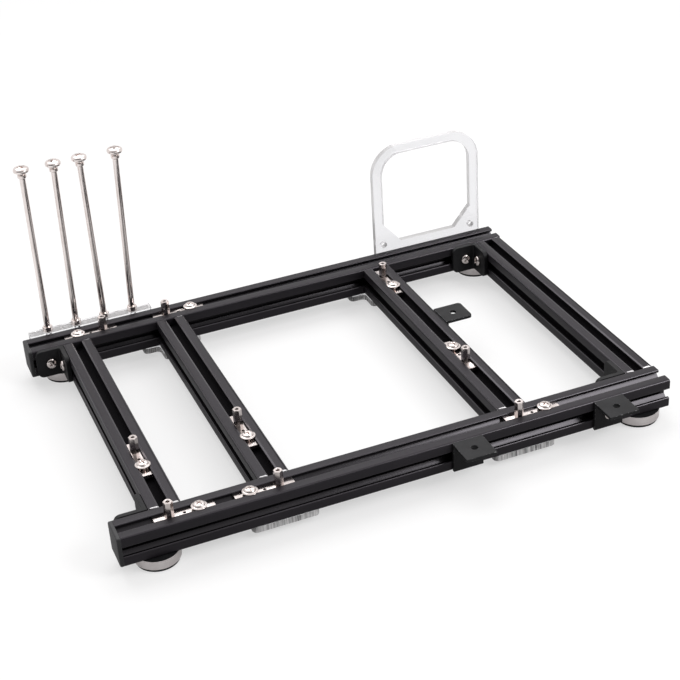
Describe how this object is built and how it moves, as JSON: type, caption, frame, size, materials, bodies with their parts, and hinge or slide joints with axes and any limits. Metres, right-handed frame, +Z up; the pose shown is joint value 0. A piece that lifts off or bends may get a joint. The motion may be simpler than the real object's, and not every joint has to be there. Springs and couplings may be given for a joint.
{
  "type": "open air test bench",
  "caption": "Open air test bench: black slotted aluminium frame with round feet, board standoffs, card rods, a clear fan bracket and clear joint plates.",
  "frame": {"origin": "middle of the base of the whole object's box, on the surface that the feet stand on", "axes": "+X along the rails, from the card rods to the fan bracket; +Y from the flanged front rail to the back rail; +Z up"},
  "size_m": [0.36, 0.277, 0.152],
  "materials": {
    "anodised_black": "black anodised, satin",
    "black_plastic": "moulded, satin",
    "black_coated": "black coated, satin",
    "nickel": "bright nickel plate",
    "foot_metal": "turned, fine rings",
    "rubber": "matt",
    "clear_acrylic": "clear, polished, laser cut edges"
  },
  "bodies": {
    "root": {"angle_bracket_front_middle": "black_coated", "angle_bracket_front_right": "black_coated", "angle_bracket_inner": "black_coated", "card_rod_1": "nickel", "card_rod_2": "nickel", "card_rod_3": "nickel", "card_rod_4": "nickel", "clamp_screws": "nickel", "corner_bracket_back_left": "black_coated", "corner_bracket_back_right": "black_coated", "corner_bracket_front_left": "black_coated", "corner_bracket_front_right": "black_coated", "cross_member_first": "anodised_black", "cross_member_fourth": "anodised_black", "cross_member_second": "anodised_black", "cross_member_third": "anodised_black", "end_cap_back": "black_plastic", "end_cap_front": "black_plastic", "fan_bracket": "clear_acrylic", "foot_back_left": "foot_metal", "foot_back_right": "foot_metal", "foot_front_left": "foot_metal", "foot_front_right": "foot_metal", "foot_pad_back_left": "rubber", "foot_pad_back_right": "rubber", "foot_pad_front_left": "rubber", "foot_pad_front_right": "rubber", "joint_plate_second_back": "clear_acrylic", "joint_plate_second_front": "clear_acrylic", "joint_plate_third_back": "clear_acrylic", "joint_plate_third_front": "clear_acrylic", "rail_back": "anodised_black", "rail_front": "anodised_black", "rod_base_nuts": "nickel", "rod_strip": "clear_acrylic", "slot_bar_back_left": "nickel", "slot_bar_back_middle": "nickel", "slot_bar_first_member": "nickel", "slot_bar_front_left": "nickel", "slot_bar_front_middle": "nickel", "slot_bar_front_right": "nickel", "slot_bar_second_member": "nickel", "slot_bar_third_member_back": "nickel", "slot_bar_third_member_front": "nickel"}
  },
  "joints": []
}
